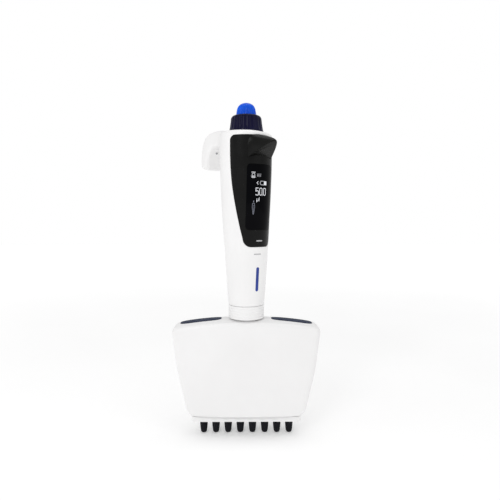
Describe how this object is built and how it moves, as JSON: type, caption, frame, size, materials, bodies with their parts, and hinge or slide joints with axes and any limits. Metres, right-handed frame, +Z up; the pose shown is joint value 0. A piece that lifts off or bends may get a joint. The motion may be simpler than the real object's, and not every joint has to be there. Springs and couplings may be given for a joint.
{
  "type": "multichannel pipette",
  "caption": "Upright electronic multichannel pipette: tapered handle with display panel, finger hook and top button, on a wide swivelling head with a row of tip cones and an ejector bar.",
  "frame": {"origin": "on the swivel axis, at the centre of the underside of the tip ejector bar", "axes": "+Z up the swivel axis to the top button, -Y out of the front of the wide head, +X along the row of tip cones; the handle is turned 36 degrees from -Y towards +X"},
  "size_m": [0.1068, 0.0721, 0.2395],
  "materials": {
    "white_plastic": "satin white moulding",
    "black_plastic": "semi-gloss black moulding",
    "dark_window": "polished dark display window",
    "navy_plastic": "satin navy moulding",
    "blue_plastic": "glossy bright blue moulding",
    "slate_insert": "soft slate blue",
    "cone_plastic": "fine matt near-black",
    "steel": "bright steel",
    "frame_plastic": "matt grey moulding",
    "board_green": "green solder resist",
    "cell_sleeve": "shrink sleeve",
    "display_grey": "dark display",
    "brass": "bright contact metal"
  },
  "bodies": {
    "handle": {"handle_housing": "white_plastic", "finger_hook": "white_plastic", "front_panel": "black_plastic", "display_window": "dark_window", "display_module": "display_grey", "main_circuit_board": "board_green", "battery_cell": "cell_sleeve", "charging_contact_left": "brass", "charging_contact_right": "brass", "stepper_motor": "steel", "motor_bracket": "frame_plastic", "chassis_plate": "frame_plastic", "encoder_module": "frame_plastic", "ejector_spring": "steel"},
    "drive_screw": {"lead_screw": "steel"},
    "trigger": {"ejector_button": "black_plastic", "ejector_rod": "steel", "ejector_pusher_ring": "frame_plastic"},
    "ring": {"selector_ring": "navy_plastic", "button_spring": "steel"},
    "button": {"start_button": "blue_plastic"},
    "nut": {"coupling_nut": "white_plastic"},
    "manifold": {"manifold_front_shell": "white_plastic", "manifold_rear_shell": "white_plastic", "neck_sleeve": "frame_plastic", "shoulder_insert_left": "slate_insert", "shoulder_insert_right": "slate_insert", "base_plate": "frame_plastic", "barrel_clamp_plate": "frame_plastic", "guide_rod_left": "steel", "guide_rod_right": "steel", "piston_spring_left": "steel", "piston_spring_right": "steel", "case_screw_1": "steel", "case_screw_2": "steel", "case_screw_3": "steel", "case_screw_4": "steel", "tip_cone_1": "cone_plastic", "tip_cone_2": "cone_plastic", "tip_cone_3": "cone_plastic", "tip_cone_4": "cone_plastic", "tip_cone_5": "cone_plastic", "tip_cone_6": "cone_plastic", "tip_cone_7": "cone_plastic", "tip_cone_8": "cone_plastic"},
    "piston_carriage": {"piston_plate": "frame_plastic", "piston_rod": "steel", "piston_1": "steel", "piston_2": "steel", "piston_3": "steel", "piston_4": "steel", "piston_5": "steel", "piston_6": "steel", "piston_7": "steel", "piston_8": "steel"},
    "tip_ejector": {"ejector_bar": "white_plastic", "ejector_side_rod_left": "steel", "ejector_side_rod_right": "steel", "ejector_yoke": "frame_plastic", "ejector_sleeve": "frame_plastic"}
  },
  "joints": [
    {"name": "manifold_swivel", "type": "hinge", "parent": "handle", "child": "manifold", "pos_m": [0, 0, 0.08], "axis": [0, 0, 1], "continuous": true},
    {"name": "coupling_nut_turn", "type": "hinge", "parent": "handle", "child": "nut", "pos_m": [0, 0, 0.0758], "axis": [0, 0, 1], "range_deg": [0, 60]},
    {"name": "selector_ring_turn", "type": "hinge", "parent": "handle", "child": "ring", "pos_m": [0, 0, 0.2084], "axis": [0, 0, 1], "continuous": true},
    {"name": "start_button_press", "type": "slide", "parent": "ring", "child": "button", "axis": [0, 0, -1], "range_m": [0, 0.003], "stiffness_N_per_m": 300, "springref_m": -0.004, "deforming": ["button_spring"]},
    {"name": "ejector_button_slide", "type": "slide", "parent": "handle", "child": "trigger", "axis": [0, 0, -1], "range_m": [0, 0.007], "stiffness_N_per_m": 250, "springref_m": -0.006, "deforming": ["ejector_spring"]},
    {"name": "ejector_bar_slide", "type": "slide", "parent": "manifold", "child": "tip_ejector", "axis": [0, 0, -1], "range_m": [0, 0.007]},
    {"name": "motor_drive_slide", "type": "slide", "parent": "handle", "child": "drive_screw", "axis": [0, 0, -1], "range_m": [0, 0.012], "stiffness_N_per_m": 60, "springref_m": -0.015},
    {"name": "piston_plate_slide", "type": "slide", "parent": "manifold", "child": "piston_carriage", "axis": [0, 0, -1], "range_m": [0, 0.012], "deforming": ["piston_spring_left", "piston_spring_right"]}
  ],
  "couplings": [
    {"joint": "ejector_bar_slide", "follows": "ejector_button_slide", "ratio": 1},
    {"joint": "piston_plate_slide", "follows": "motor_drive_slide", "ratio": 1}
  ]
}
